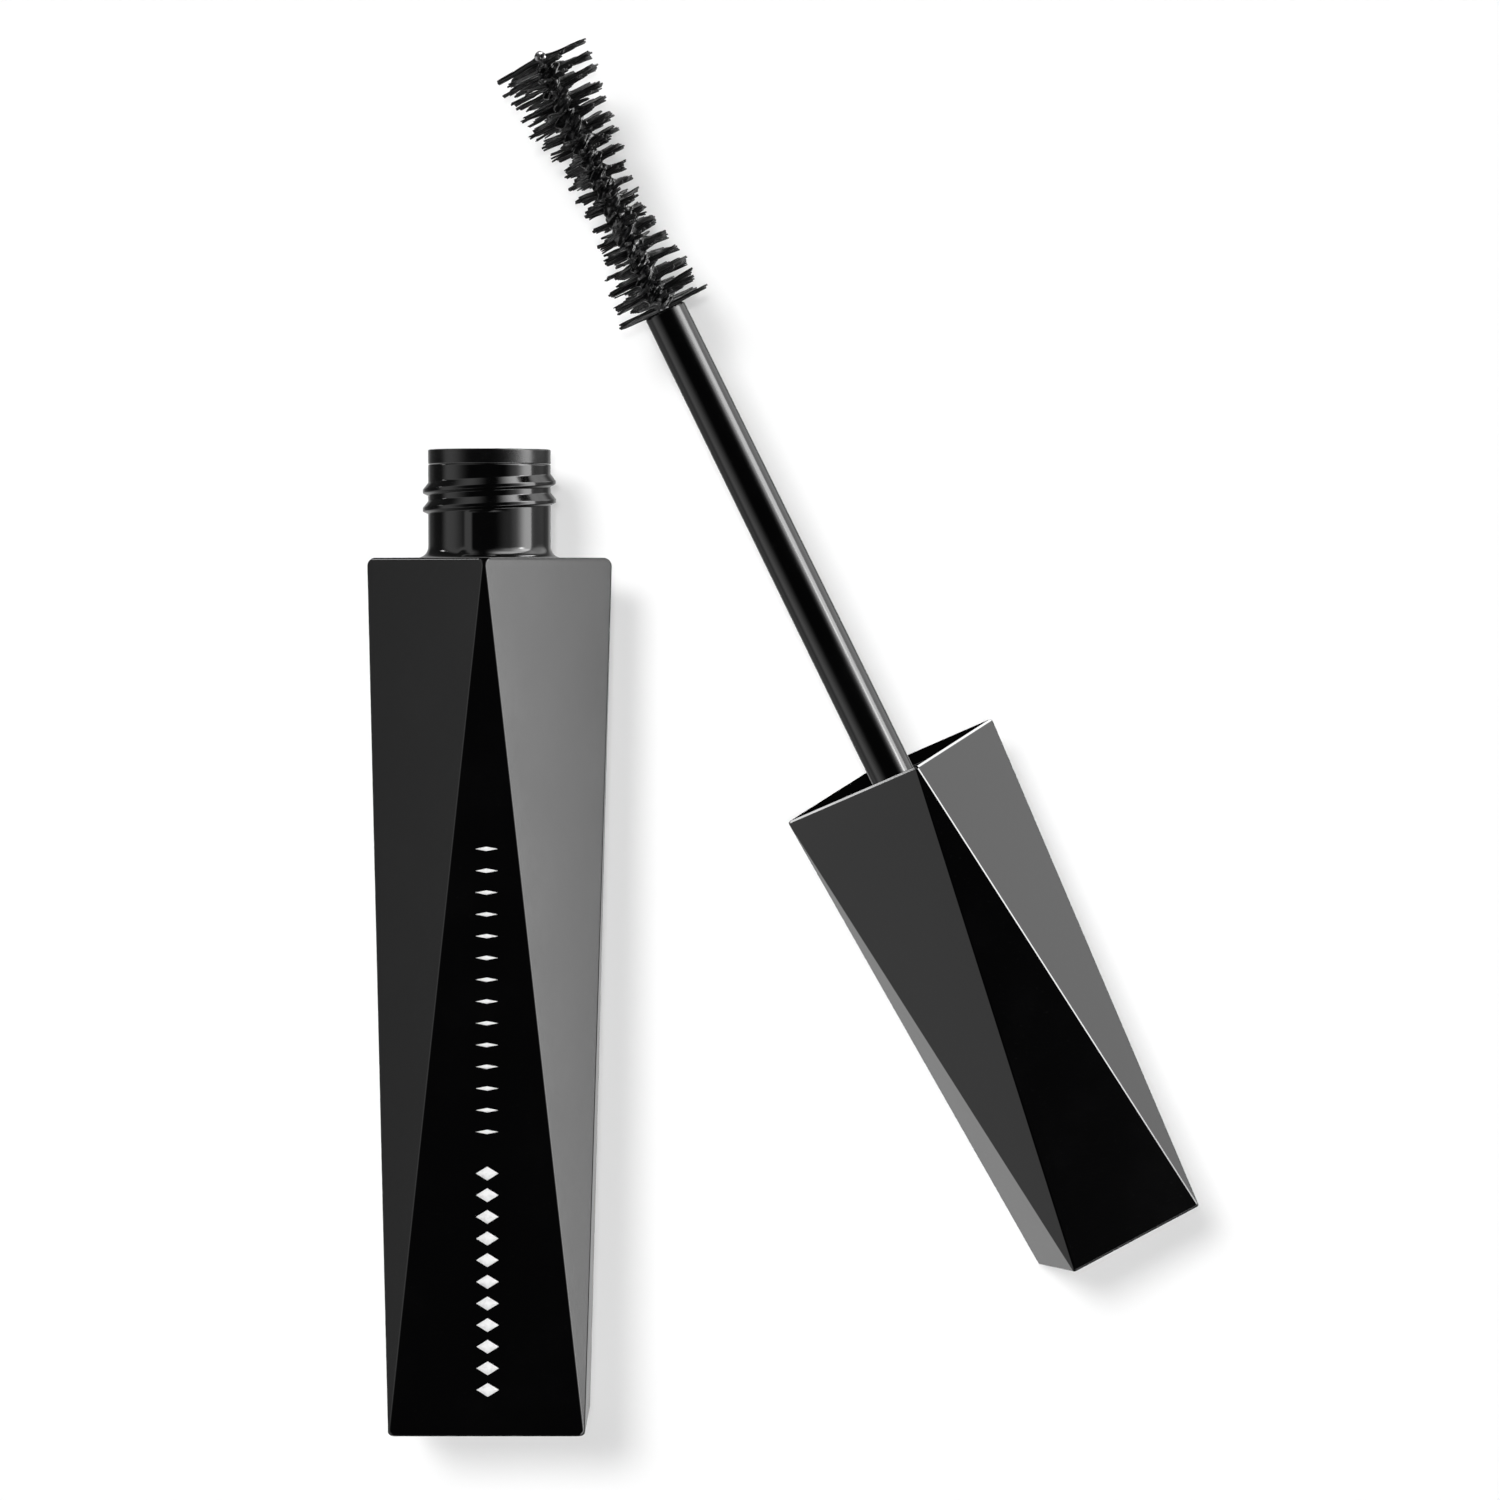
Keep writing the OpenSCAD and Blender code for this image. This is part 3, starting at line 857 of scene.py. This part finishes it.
def cap_grid(sizes):
    """The cap's shell as one closed grid: the round inside, square mouth, rim, facets and closed end.

    Returns the grid, its normals and how many of its rows lie inside the cap.
    """
    edge = sizes.end_edge
    shaft = FacetedShaft(
        sizes.crown_side / 2, sizes.rim_side / 2, sizes.facet_edge, CAP_LENGTH - 2 * edge, even_bevel=True
    )
    rim, rim_normals = shaft.end_rows(1, 0.0, edge * 0.8, edge, -1.0)
    sides, side_normals = shaft.side_rows(edge, CAP_LENGTH - edge, towards_turned=False)
    crown, crown_normals = shaft.end_rows(0, CAP_LENGTH, edge * 0.8, edge, 1.0)
    mouth_half = sizes.rim_side / 2 - sizes.wall
    mouth_edge = 0.12
    mouth, mouth_normals = [], []
    for inset, height, out, down in (
        (0.0, 0.0, 0.0, -1.0),
        (0.3, 0.03, -0.38, -0.92),
        (0.7, 0.3, -0.92, -0.38),
        (1.0, 1.0, -1.0, 0.0),
    ):
        side = mouth_half + mouth_edge * (1 - inset) - shaft.edge_radius
        ring, angles = shaft.ring(side * math.sqrt(2), side, shaft.edge_radius)
        mouth.append(lifted(ring, mouth_edge * height))
        mouth_normals.append(polar(out, angles, down))
    ledge = mouth[-1].copy()
    ledge[:, 2] = LINER_LOW
    bore, deep_bore, roof, roof_round = LINER_RADIUS + 0.02, 5.2, CAP_LENGTH - 1.6, 0.8
    inside = revolve(
        joined(
            line((bore, LINER_LOW), (bore, LINER_TOP), (deep_bore, LINER_TOP + 0.05)),
            line((deep_bore, roof - roof_round)),
            arc(deep_bore - roof_round, roof - roof_round, roof_round, 0, 90, 4),
        )
    )
    hollow = joined(centre_ring(roof), inside[::-1], ledge[None])
    grid = joined(hollow, np.array(mouth)[::-1], rim[::-1], sides, crown, centre_ring(CAP_LENGTH))
    known = joined(
        mouth_normals[-1][None],
        np.array(mouth_normals)[::-1],
        rim_normals[::-1],
        side_normals,
        crown_normals,
        flat_rows(centre_ring(0.0), 1.0),
    )
    normals = grid_normals(grid)
    normals[-len(known) :] = known
    return grid, normals, len(hollow) + len(mouth)


class MASCARA_OT_cap(bpy.types.Operator):
    """Make the faceted shell of the cap"""

    bl_idname = "mascara.cap"
    bl_label = "Cap shell"

    def execute(self, context):
        scene = context.scene
        sizes = scene.mascara_applicator
        material = polished_plastic("cap_gloss", scene.mascara_finishes.cap, 0.07, 0.04)
        grid, normals, inside_rows = cap_grid(sizes)
        # The inside faces take a copy of the plastic that reflects nothing (IOR 1): painted shade for the
        # cap's hollow, which the cap doesn't throw on itself in the gloss.
        inside = satin_plastic("cap_inside_painted_shade", scene.mascara_finishes.liner, 0.55, ior=1.0)
        seat = applicator_seat(sizes.roll)
        piece = grid_object("cap_facets", grid, seat, material, normals, inside, inside_rows)
        finish_piece(piece, "applicator", "cap_plastic", "cap_shell")
        return {"FINISHED"}


class MASCARA_OT_liner(bpy.types.Operator):
    """Make the inner cap with its female thread, and the washer under its ceiling"""

    bl_idname = "mascara.liner"
    bl_label = "Inner cap and washer"

    def execute(self, context):
        scene = context.scene
        sizes = scene.mascara_applicator
        neck = scene.mascara_bottle
        seat = applicator_seat(sizes.roll)
        rod_r = sizes.rod_diameter / 2 + 0.02
        socket, mouth, rows = 6.15, 6.25, 120
        profile = joined(
            line((mouth, LINER_LOW), (socket, LINER_LOW + 0.12)),
            wall(socket, np.linspace(1.5, 10.6, rows)),
            line((socket, CEILING_LOW), (rod_r, CEILING_LOW), (rod_r, CEILING_TOP)),
            line((HEAD_RADIUS, CEILING_TOP), (HEAD_RADIUS, LINER_TOP - 0.1), (HEAD_RADIUS + 0.1, LINER_TOP)),
            line((LINER_RADIUS - 0.2, LINER_TOP), (LINER_RADIUS, LINER_TOP - 0.2)),
            line((LINER_RADIUS, LINER_LOW + 0.15), (LINER_RADIUS - 0.15, LINER_LOW), (mouth, LINER_LOW)),
        )
        grid = revolve(profile)
        ridge = np.zeros(grid.shape[:2])
        thread_low, thread_turns, reach = 3.9, 1.5, 0.5
        for lap in range(3):
            turn = (ring_angles() / TURN + lap)[None, :]
            above = np.abs(grid[..., 2] - thread_low - neck.thread_pitch * turn)
            fade = smooth_step(turn, 0.0, 0.1) * (1 - smooth_step(turn, thread_turns - 0.1, thread_turns))
            ridge = np.maximum(ridge, (1 - smooth_step(above, 0.15, 0.42)) * fade)
        ridge[:2] = 0
        ridge[2 + rows :] = 0
        push_out(grid, -reach * ridge)
        material = satin_plastic("liner_satin", scene.mascara_finishes.liner, 0.35)
        piece = grid_object("inner_cap_liner", grid[::-1], seat, material)
        finish_piece(piece, "applicator", "inner_cap_plastic", "inner_cap")
        low, high, hole, rim, edge = 10.15, 10.95, 2.08, 5.9, 0.15
        washer = joined(
            arc(rim - edge, low + edge, edge, -90, 0, 3),
            arc(rim - edge, high - edge, edge, 0, 90, 3),
            line((hole + 0.1, high), (hole, high - 0.1), (hole, low + 0.1), (hole + 0.1, low)),
            line((rim - edge, low)),
        )
        rubber = soft_rubber("washer_matt", scene.mascara_finishes.washer)
        ring = grid_object("washer_ring", revolve(washer, 120), seat, rubber)
        finish_piece(ring, "washer", "washer_rubber", "sealing_washer")
        return {"FINISHED"}


# ---------------------------------------------------------------- rod, wire and brush


class MASCARA_OT_rod(bpy.types.Operator):
    """Make the rod: a slightly tapered stem with a rounded tip and a head inside the inner cap"""

    bl_idname = "mascara.rod"
    bl_label = "Rod"

    def execute(self, context):
        scene = context.scene
        sizes = scene.mascara_applicator
        radius = sizes.rod_diameter / 2
        start = -sizes.brush_start
        tip, tip_edge, hole, stem_rows = radius - 0.08, 0.3, 0.58, 14
        deep, head_r = start + 0.5, HEAD_RADIUS - 0.02
        heights = np.linspace(start + tip_edge, 0.0, stem_rows)
        profile = joined(
            line((0.0, deep), (hole, deep), (hole, start + 0.05), (hole + 0.08, start)),
            arc(tip - tip_edge, start + tip_edge, tip_edge, -90, 0, 6),
            wall(np.linspace(tip, radius, stem_rows), heights)[1:],
            line((radius, CEILING_TOP), (head_r - 0.08, CEILING_TOP + 0.05), (head_r, CEILING_TOP + 0.15)),
            line((head_r, HEAD_TOP - 0.1), (head_r - 0.08, HEAD_TOP), (0.0, HEAD_TOP)),
        )
        material = polished_plastic("rod_gloss", scene.mascara_finishes.cap, 0.12, 0.06)
        piece = grid_object("rod_stem", revolve(profile, 120), applicator_seat(sizes.roll), material)
        finish_piece(piece, "applicator", "rod_plastic", "rod")
        return {"FINISHED"}


def tube_grid(path, radius, sides=12):
    """A tube along a path: each point's ring lies across the path's direction there.

    A ring's first point lies towards a fixed hint, which is never in line with the path.
    """
    tangent = np.gradient(path, axis=0)
    tangent /= np.linalg.norm(tangent, axis=1, keepdims=True)
    hint = np.array([0.31, 0.95, 0.05])
    across = hint - tangent * (tangent @ hint)[:, None]
    across /= np.linalg.norm(across, axis=1, keepdims=True)
    beside = np.cross(tangent, across)
    angle = ring_angles(sides)[:, None]
    ring = across[:, None] * np.cos(angle) + beside[:, None] * np.sin(angle)
    return path[:, None] + radius * ring


def closed_ends(grid, first, last):
    """A grid of rings with one more ring at each end, all of whose points lie at one place."""
    ends = [np.broadcast_to(end, grid[:1].shape) for end in (first, last)]
    return joined(ends[0], grid, ends[1])


class MASCARA_OT_wire(bpy.types.Operator):
    """Make the wire: one strand that runs up, folds over at the tip and twists back round itself"""

    bl_idname = "mascara.wire"
    bl_label = "Twisted wire"

    def execute(self, context):
        scene = context.scene
        sizes = scene.mascara_applicator
        strand, rows = 0.27, 420
        fold = strand * 1.02
        root_z = -sizes.brush_start + 0.45
        fold_z = -sizes.brush_start - sizes.brush_length - 0.05
        straight = np.linspace(root_z, fold_z, rows)
        bend = np.linspace(0, math.pi, 13)[1:-1]
        offset = joined(np.full(rows, fold), fold * np.cos(bend), np.full(rows, -fold))
        height = joined(straight, fold_z - fold * np.sin(bend), straight[::-1])
        path = polar(offset, TURN * height / sizes.wire_pitch, height)
        closed = closed_ends(tube_grid(path, strand, 10), path[0], path[-1])
        points, quads, triangles, *_ = weld(closed.reshape(-1, 3), grid_quads(*closed.shape[:2]))
        material = filmed_steel("wire_steel_filmed", scene.mascara_finishes.wire)
        seat = applicator_seat(sizes.roll)
        piece = mesh_object("twisted_wire", seat.points(points), quads, triangles, None, material)
        finish_piece(piece, "applicator", "wire_steel", "brush_wire")
        return {"FINISHED"}


def brush_radius(share, sizes):
    """Radius of the hourglass at a share of its length: widest at both ends, narrowest before the middle."""
    swell = (1 + np.cos(TURN * share**0.78)) / 2
    return (sizes.brush_waist + (sizes.brush_end - sizes.brush_waist) * swell**0.9) / 2


def fibre_points(sizes, rng, sides=5, rings=7):
    """All the fibres at once, as an array of fibres by rings by sides by three.

    Fibres leave the wire along its twist, on both sides of it, in clumps whose tips lean together. Each one
    is a short bent tube that thickens where paste has gathered and ends bluntly at the hourglass's outline.
    """
    count, clump_size, root_radius = sizes.fibres, 4, 0.25
    clump = np.arange(count) // clump_size
    clumps = clump.max() + 1
    clump_share = (np.arange(clumps) + rng.uniform(-0.5, 0.5, clumps)) / clumps
    clump_share = np.clip(clump_share, 0.004, 0.994)
    tip_end = smooth_step(clump_share, 0.86, 0.97)
    clump_reach = rng.uniform(0.84, 1.0, clumps) ** 0.7
    clump_side = rng.integers(0, 2, clumps) * math.pi
    low = -sizes.brush_start - sizes.brush_length
    clump_height = -sizes.brush_start - sizes.brush_length * clump_share
    clump_angle = TURN * clump_height / sizes.wire_pitch + clump_side + rng.normal(0, 0.14, clumps)
    clump_lean = rng.normal(0, 0.16, clumps) + 0.25 * tip_end
    height = clump_height[clump] + rng.normal(0, 0.13, count)
    angle = clump_angle[clump] + rng.normal(0, 0.12, count)
    share = np.clip((-sizes.brush_start - height) / sizes.brush_length, 0.002, 0.998)
    reach = brush_radius(share, sizes) * clump_reach[clump] * rng.uniform(0.93, 1.0, count)
    tip_height = (clump_height + clump_lean)[clump] + rng.normal(0, 0.085, count)
    tip_height = np.clip(tip_height, low + 0.12, -sizes.brush_start - 0.12)
    tip_angle = clump_angle[clump] + rng.normal(0, 0.035, count)
    along = np.linspace(0, 1, rings)[None, :]
    distance = root_radius + (reach[:, None] - root_radius) * along
    bend = along**0.8
    turn = angle[:, None] + (tip_angle - angle)[:, None] * bend
    level = height[:, None] + (tip_height - height)[:, None] * bend
    centre = polar(distance, turn, level)
    pasty = 1 + 0.35 * tip_end[clump]
    thick = (rng.uniform(0.08, 0.12, count) * pasty)[:, None] * (1.25 - 0.35 * along)
    lumps = rng.uniform(5, 13, count)[:, None] * along + rng.uniform(0, TURN, count)[:, None]
    thick = thick * (1 + 0.2 * np.sin(lumps))
    thick[:, -1] *= 0.8
    outward = polar(1.0, turn, 0.0)
    upward = np.broadcast_to(np.array([0.0, 0.0, 1.0]), outward.shape)
    beside = np.cross(upward, outward)
    round_angle = ring_angles(sides)[:, None]
    ring = beside[:, :, None] * np.cos(round_angle) + upward[:, :, None] * np.sin(round_angle)
    return centre[:, :, None] + thick[:, :, None, None] * ring, centre


class MASCARA_OT_bristles(bpy.types.Operator):
    """Make the bristles: hundreds of coated fibres in clumps along the twisted wire"""

    bl_idname = "mascara.bristles"
    bl_label = "Bristles"

    def execute(self, context):
        scene = context.scene
        sizes = scene.mascara_applicator
        rng = np.random.default_rng(sizes.seed)
        tubes, centre = fibre_points(sizes, rng)
        count, rings, sides = tubes.shape[:3]
        root = np.broadcast_to(centre[:, :1, None], tubes[:, :1].shape)
        tip = np.broadcast_to(centre[:, -1:, None], tubes[:, :1].shape)
        closed = np.concatenate([root, tubes, tip], axis=1)
        quads = repeated(grid_quads(rings + 2, sides), (rings + 2) * sides, count)
        points, whole, triangles, *_ = weld(closed.reshape(-1, 3), quads)
        material = coated_fibre("fibre_coated", scene.mascara_finishes.fibre)
        seat = applicator_seat(sizes.roll)
        piece = mesh_object("bristle_fibres", seat.points(points), whole, triangles, None, material)
        finish_piece(piece, "applicator", "bristle_fibre", "bristles")
        return {"FINISHED"}


class MASCARA_OT_brush_cream(bpy.types.Operator):
    """Make the paste that clings to the brush's core: a lumpy sleeve that follows the wire's twist"""

    bl_idname = "mascara.brush_cream"
    bl_label = "Paste on the brush"

    def execute(self, context):
        scene = context.scene
        sizes = scene.mascara_applicator
        rng = np.random.default_rng(sizes.seed + 1)
        rows, columns = 330, 72
        share = np.linspace(0.005, 0.985, rows)
        height = -sizes.brush_start - sizes.brush_length * share
        angle = ring_angles(columns)
        twist = TURN * height / sizes.wire_pitch
        winding = angle[None, :] - twist[:, None]
        wave = np.zeros((rows, columns))
        for _ in range(26):
            around, along = rng.integers(0, 7), rng.uniform(1.0, 9.0)
            phase, weight = rng.uniform(0, TURN), rng.uniform(0.4, 1.0)
            wave += weight * np.sin(around * winding + along * height[:, None] + phase)
        lumps = np.maximum(wave, -1.5) * 0.085
        core, strand_swell, thinnest, end_share = 0.85, 0.3, 0.45, 0.35
        radius = core + strand_swell * np.cos(winding) ** 2 + lumps
        fade = smooth_step(share, 0.0, 0.03) * (1 - smooth_step(share, 0.95, 0.99))
        radius = np.maximum(radius, thinnest) * (end_share + (1 - end_share) * fade[:, None])
        sleeve = polar(radius, angle, height[:, None])
        grid = closed_ends(sleeve, [0.0, 0.0, height[0]], [0.0, 0.0, height[-1]])
        material = wet_cream("cream_on_brush", scene.mascara_finishes.cream)
        piece = grid_object("brush_paste", grid[::-1], applicator_seat(sizes.roll), material)
        finish_piece(piece, "applicator", "cream")
        return {"FINISHED"}


# ---------------------------------------------------------------- the stage


class StageSettings(bpy.types.PropertyGroup):
    """The camera, the floor and the lights."""

    view_width: metres("View width", "Width that the camera sees", 0.135)
    view_height: metres("Camera height", "Height above the table", 0.54)
    centre_x: metres("Centre X", "Middle of the view", 0.0234)
    centre_y: metres("Centre Y", "Middle of the view", 0.0347)
    subject_height: metres("Subject height", "Height in focus", 0.01)
    key: light_strength("Key light", "The slanting light that throws the shadows", 1.25)
    overhead: light_strength("Overhead light", "The light from above that throws soft contact shadows", 0.5)
    even: light_strength("Even light", "The light from above that throws no shadow", 1.77)


def make_camera(stage):
    """The camera looks straight down at the table with a long lens."""
    data = bpy.data.cameras.new("camera")
    sensor = 36.0
    data.sensor_width = sensor
    data.lens = sensor * (stage.view_height - stage.subject_height) / stage.view_width
    data.clip_start, data.clip_end = 0.01, 10.0
    camera = bpy.data.objects.new("camera", data)
    camera.location = (stage.centre_x, stage.centre_y, stage.view_height)
    bpy.context.scene.collection.objects.link(camera)
    bpy.context.scene.camera = camera


def make_floor(finishes):
    """A wide pale table, just under the surface that the tube lies on."""
    half, drop = 3.9, 0.00002
    corners = np.array([[-1.0, -1.0], [1.0, -1.0], [1.0, 1.0], [-1.0, 1.0]])
    points = np.column_stack([corners * half, np.full(4, -drop)])
    finish = Finish("floor_pale")
    mottle = finish.noise(60.0)
    pale = tuple(finishes.floor)
    finish.feed("Roughness", 0.55 + mottle * 0.1)
    finish.tint(mottle, pale, shade(pale, 0.995))
    finish.fix(Specular_IOR_Level=0.0)
    floor = mesh_object("floor", points, np.array([[0, 1, 2, 3]]), None, None, finish.material)
    floor.visible_glossy = False


def make_backdrop():
    """A pale dome behind everything, seen straight and never in the gloss or as light.

    A point of it lies at the dome's radius, its azimuth the column's and its elevation the row's.
    """
    radius, rows, columns = 4.0, 24, 64
    rise = np.linspace(math.radians(-4), math.pi / 2, rows)[:, None]
    grid = polar(np.cos(rise), ring_angles(columns), np.sin(rise))
    points, quads, triangles, *_ = weld(grid.reshape(-1, 3) * radius, grid_quads(rows, columns)[:, ::-1])
    finish = Finish("backdrop_pale")
    finish.tint(finish.noise(1.5, 2.0), (1.0, 1.0, 1.0), (0.99, 0.99, 0.99), "Emission Color")
    finish.fix(Emission_Strength=1.0, Base_Color=(0.0, 0.0, 0.0, 1.0), Specular_IOR_Level=0.0)
    dome = mesh_object("backdrop", points, quads, triangles, None, finish.material)
    dome.visible_glossy = dome.visible_diffuse = dome.visible_shadow = False


def lobe(direction, azimuth, elevation, inner, outer):
    """A soft round light in the studio: 1 within the inner angle of its centre and 0 past the outer one."""
    turn, rise = math.radians(azimuth), math.radians(elevation)
    centre = (math.cos(turn) * math.cos(rise), math.sin(turn) * math.cos(rise), math.sin(rise))
    made = direction.node("ShaderNodeVectorMath", {"operation": "DOT_PRODUCT"}, _0=direction, _1=centre)
    near = direction.of(made, "Value")
    return near.step(math.cos(math.radians(outer)), math.cos(math.radians(inner)))


def make_world():
    """A studio seen only in reflections.

    It is dark overhead and dim on the left, with a bright bank low on the right: each is a smooth step in how
    far a direction points across and up, and the soft round lights are added to their sum.
    """
    world = bpy.data.worlds.new("studio")
    bpy.context.scene.world = world
    world.use_nodes = True
    world.cycles_visibility.diffuse = False
    tree = world.node_tree
    direction = Socket(tree, tree.nodes.new("ShaderNodeTexCoord").outputs["Generated"])
    parts = direction.node("ShaderNodeSeparateXYZ", _0=direction)
    across, height = direction.of(parts, "X"), direction.of(parts, "Z")
    on_left = (0.0 - across).step(0.05, 0.4)
    left_rise = 1.0 - height.step(0.3, 0.85)
    left_fall = 0.06 + height.step(-0.2, 0.15) * 0.94
    left = on_left * left_rise * left_fall * 0.95
    on_right = across.step(0.1, 0.45)
    right_rise = 0.75 - height.step(0.55, 0.88) * 0.75 + 3.6 - height.step(0.25, 0.62) * 3.6
    right_low = 0.05 + height.step(-0.45, -0.1) * 0.1 + height.step(-0.12, 0.02) * 0.12
    right = on_right * right_rise * (right_low + height.step(0.01, 0.055) * 1.3)
    table = (0.0 - height).step(0.8, 0.95) * 0.45
    strength = 0.008 + left + right + table
    for azimuth, elevation, inner, outer, power in STUDIO_LIGHTS:
        strength = strength + lobe(direction, azimuth, elevation, inner, outer) * power
    background = tree.nodes["Background"]
    tree.links.new(strength.output, background.inputs["Strength"])
    background.inputs["Color"].default_value = (1.0, 1.0, 1.0, 1.0)


def add_light(name, energy, angle, direction):
    """A soft sun that lights the table but isn't itself seen in the gloss."""
    data = bpy.data.lights.new(name, "SUN")
    data.energy = energy
    data.angle = math.radians(angle)
    light = bpy.data.objects.new(name, data)
    light.rotation_mode = "QUATERNION"
    light.rotation_quaternion = Vector(direction).to_track_quat("-Z", "Y")
    light.visible_glossy = False
    bpy.context.scene.collection.objects.link(light)
    return light


class MASCARA_OT_stage(bpy.types.Operator):
    """Make the camera, the pale table and the studio lights"""

    bl_idname = "mascara.stage"
    bl_label = "Stage"

    def execute(self, context):
        scene = context.scene
        stage = scene.mascara_stage
        scene.view_settings.view_transform = "Standard"
        make_camera(stage)
        make_floor(scene.mascara_finishes)
        make_backdrop()
        make_world()
        add_light("key", stage.key, 15.0, (0.255, -0.285, -1.0))
        add_light("overhead", stage.overhead, 3.0, (0.0, 0.0, -1.0))
        even = add_light("even", stage.even, 3.0, (0.0, 0.0, -1.0))
        even.data.use_shadow = False
        return {"FINISHED"}


# ---------------------------------------------------------------- panel and registration


MAKERS = (
    MASCARA_OT_stage,
    MASCARA_OT_bottle,
    MASCARA_OT_wiper,
    MASCARA_OT_cream,
    MASCARA_OT_mark,
    MASCARA_OT_cap,
    MASCARA_OT_liner,
    MASCARA_OT_rod,
    MASCARA_OT_wire,
    MASCARA_OT_bristles,
    MASCARA_OT_brush_cream,
)


class MASCARA_PT_panel(bpy.types.Panel):
    """Lists the makers of the tube's pieces"""

    bl_idname = "MASCARA_PT_panel"
    bl_label = "Mascara tube"
    bl_space_type = "VIEW_3D"
    bl_region_type = "UI"
    bl_category = "Mascara"

    def draw(self, context):
        for maker in MAKERS:
            self.layout.operator(maker.bl_idname)


SETTINGS = {
    "mascara_bottle": BottleSizes,
    "mascara_applicator": ApplicatorSizes,
    "mascara_finishes": Finishes,
    "mascara_stage": StageSettings,
}


def register():
    for group in SETTINGS.values():
        bpy.utils.register_class(group)
    for name, group in SETTINGS.items():
        setattr(bpy.types.Scene, name, PointerProperty(type=group))
    for maker in MAKERS:
        bpy.utils.register_class(maker)
    bpy.utils.register_class(MASCARA_PT_panel)


def unregister():
    bpy.utils.unregister_class(MASCARA_PT_panel)
    for maker in reversed(MAKERS):
        bpy.utils.unregister_class(maker)
    for name, group in SETTINGS.items():
        delattr(bpy.types.Scene, name)
        bpy.utils.unregister_class(group)


def main():
    register()
    for maker in MAKERS:
        group, name = maker.bl_idname.split(".")
        getattr(getattr(bpy.ops, group), name)()


if __name__ == "__main__":
    main()
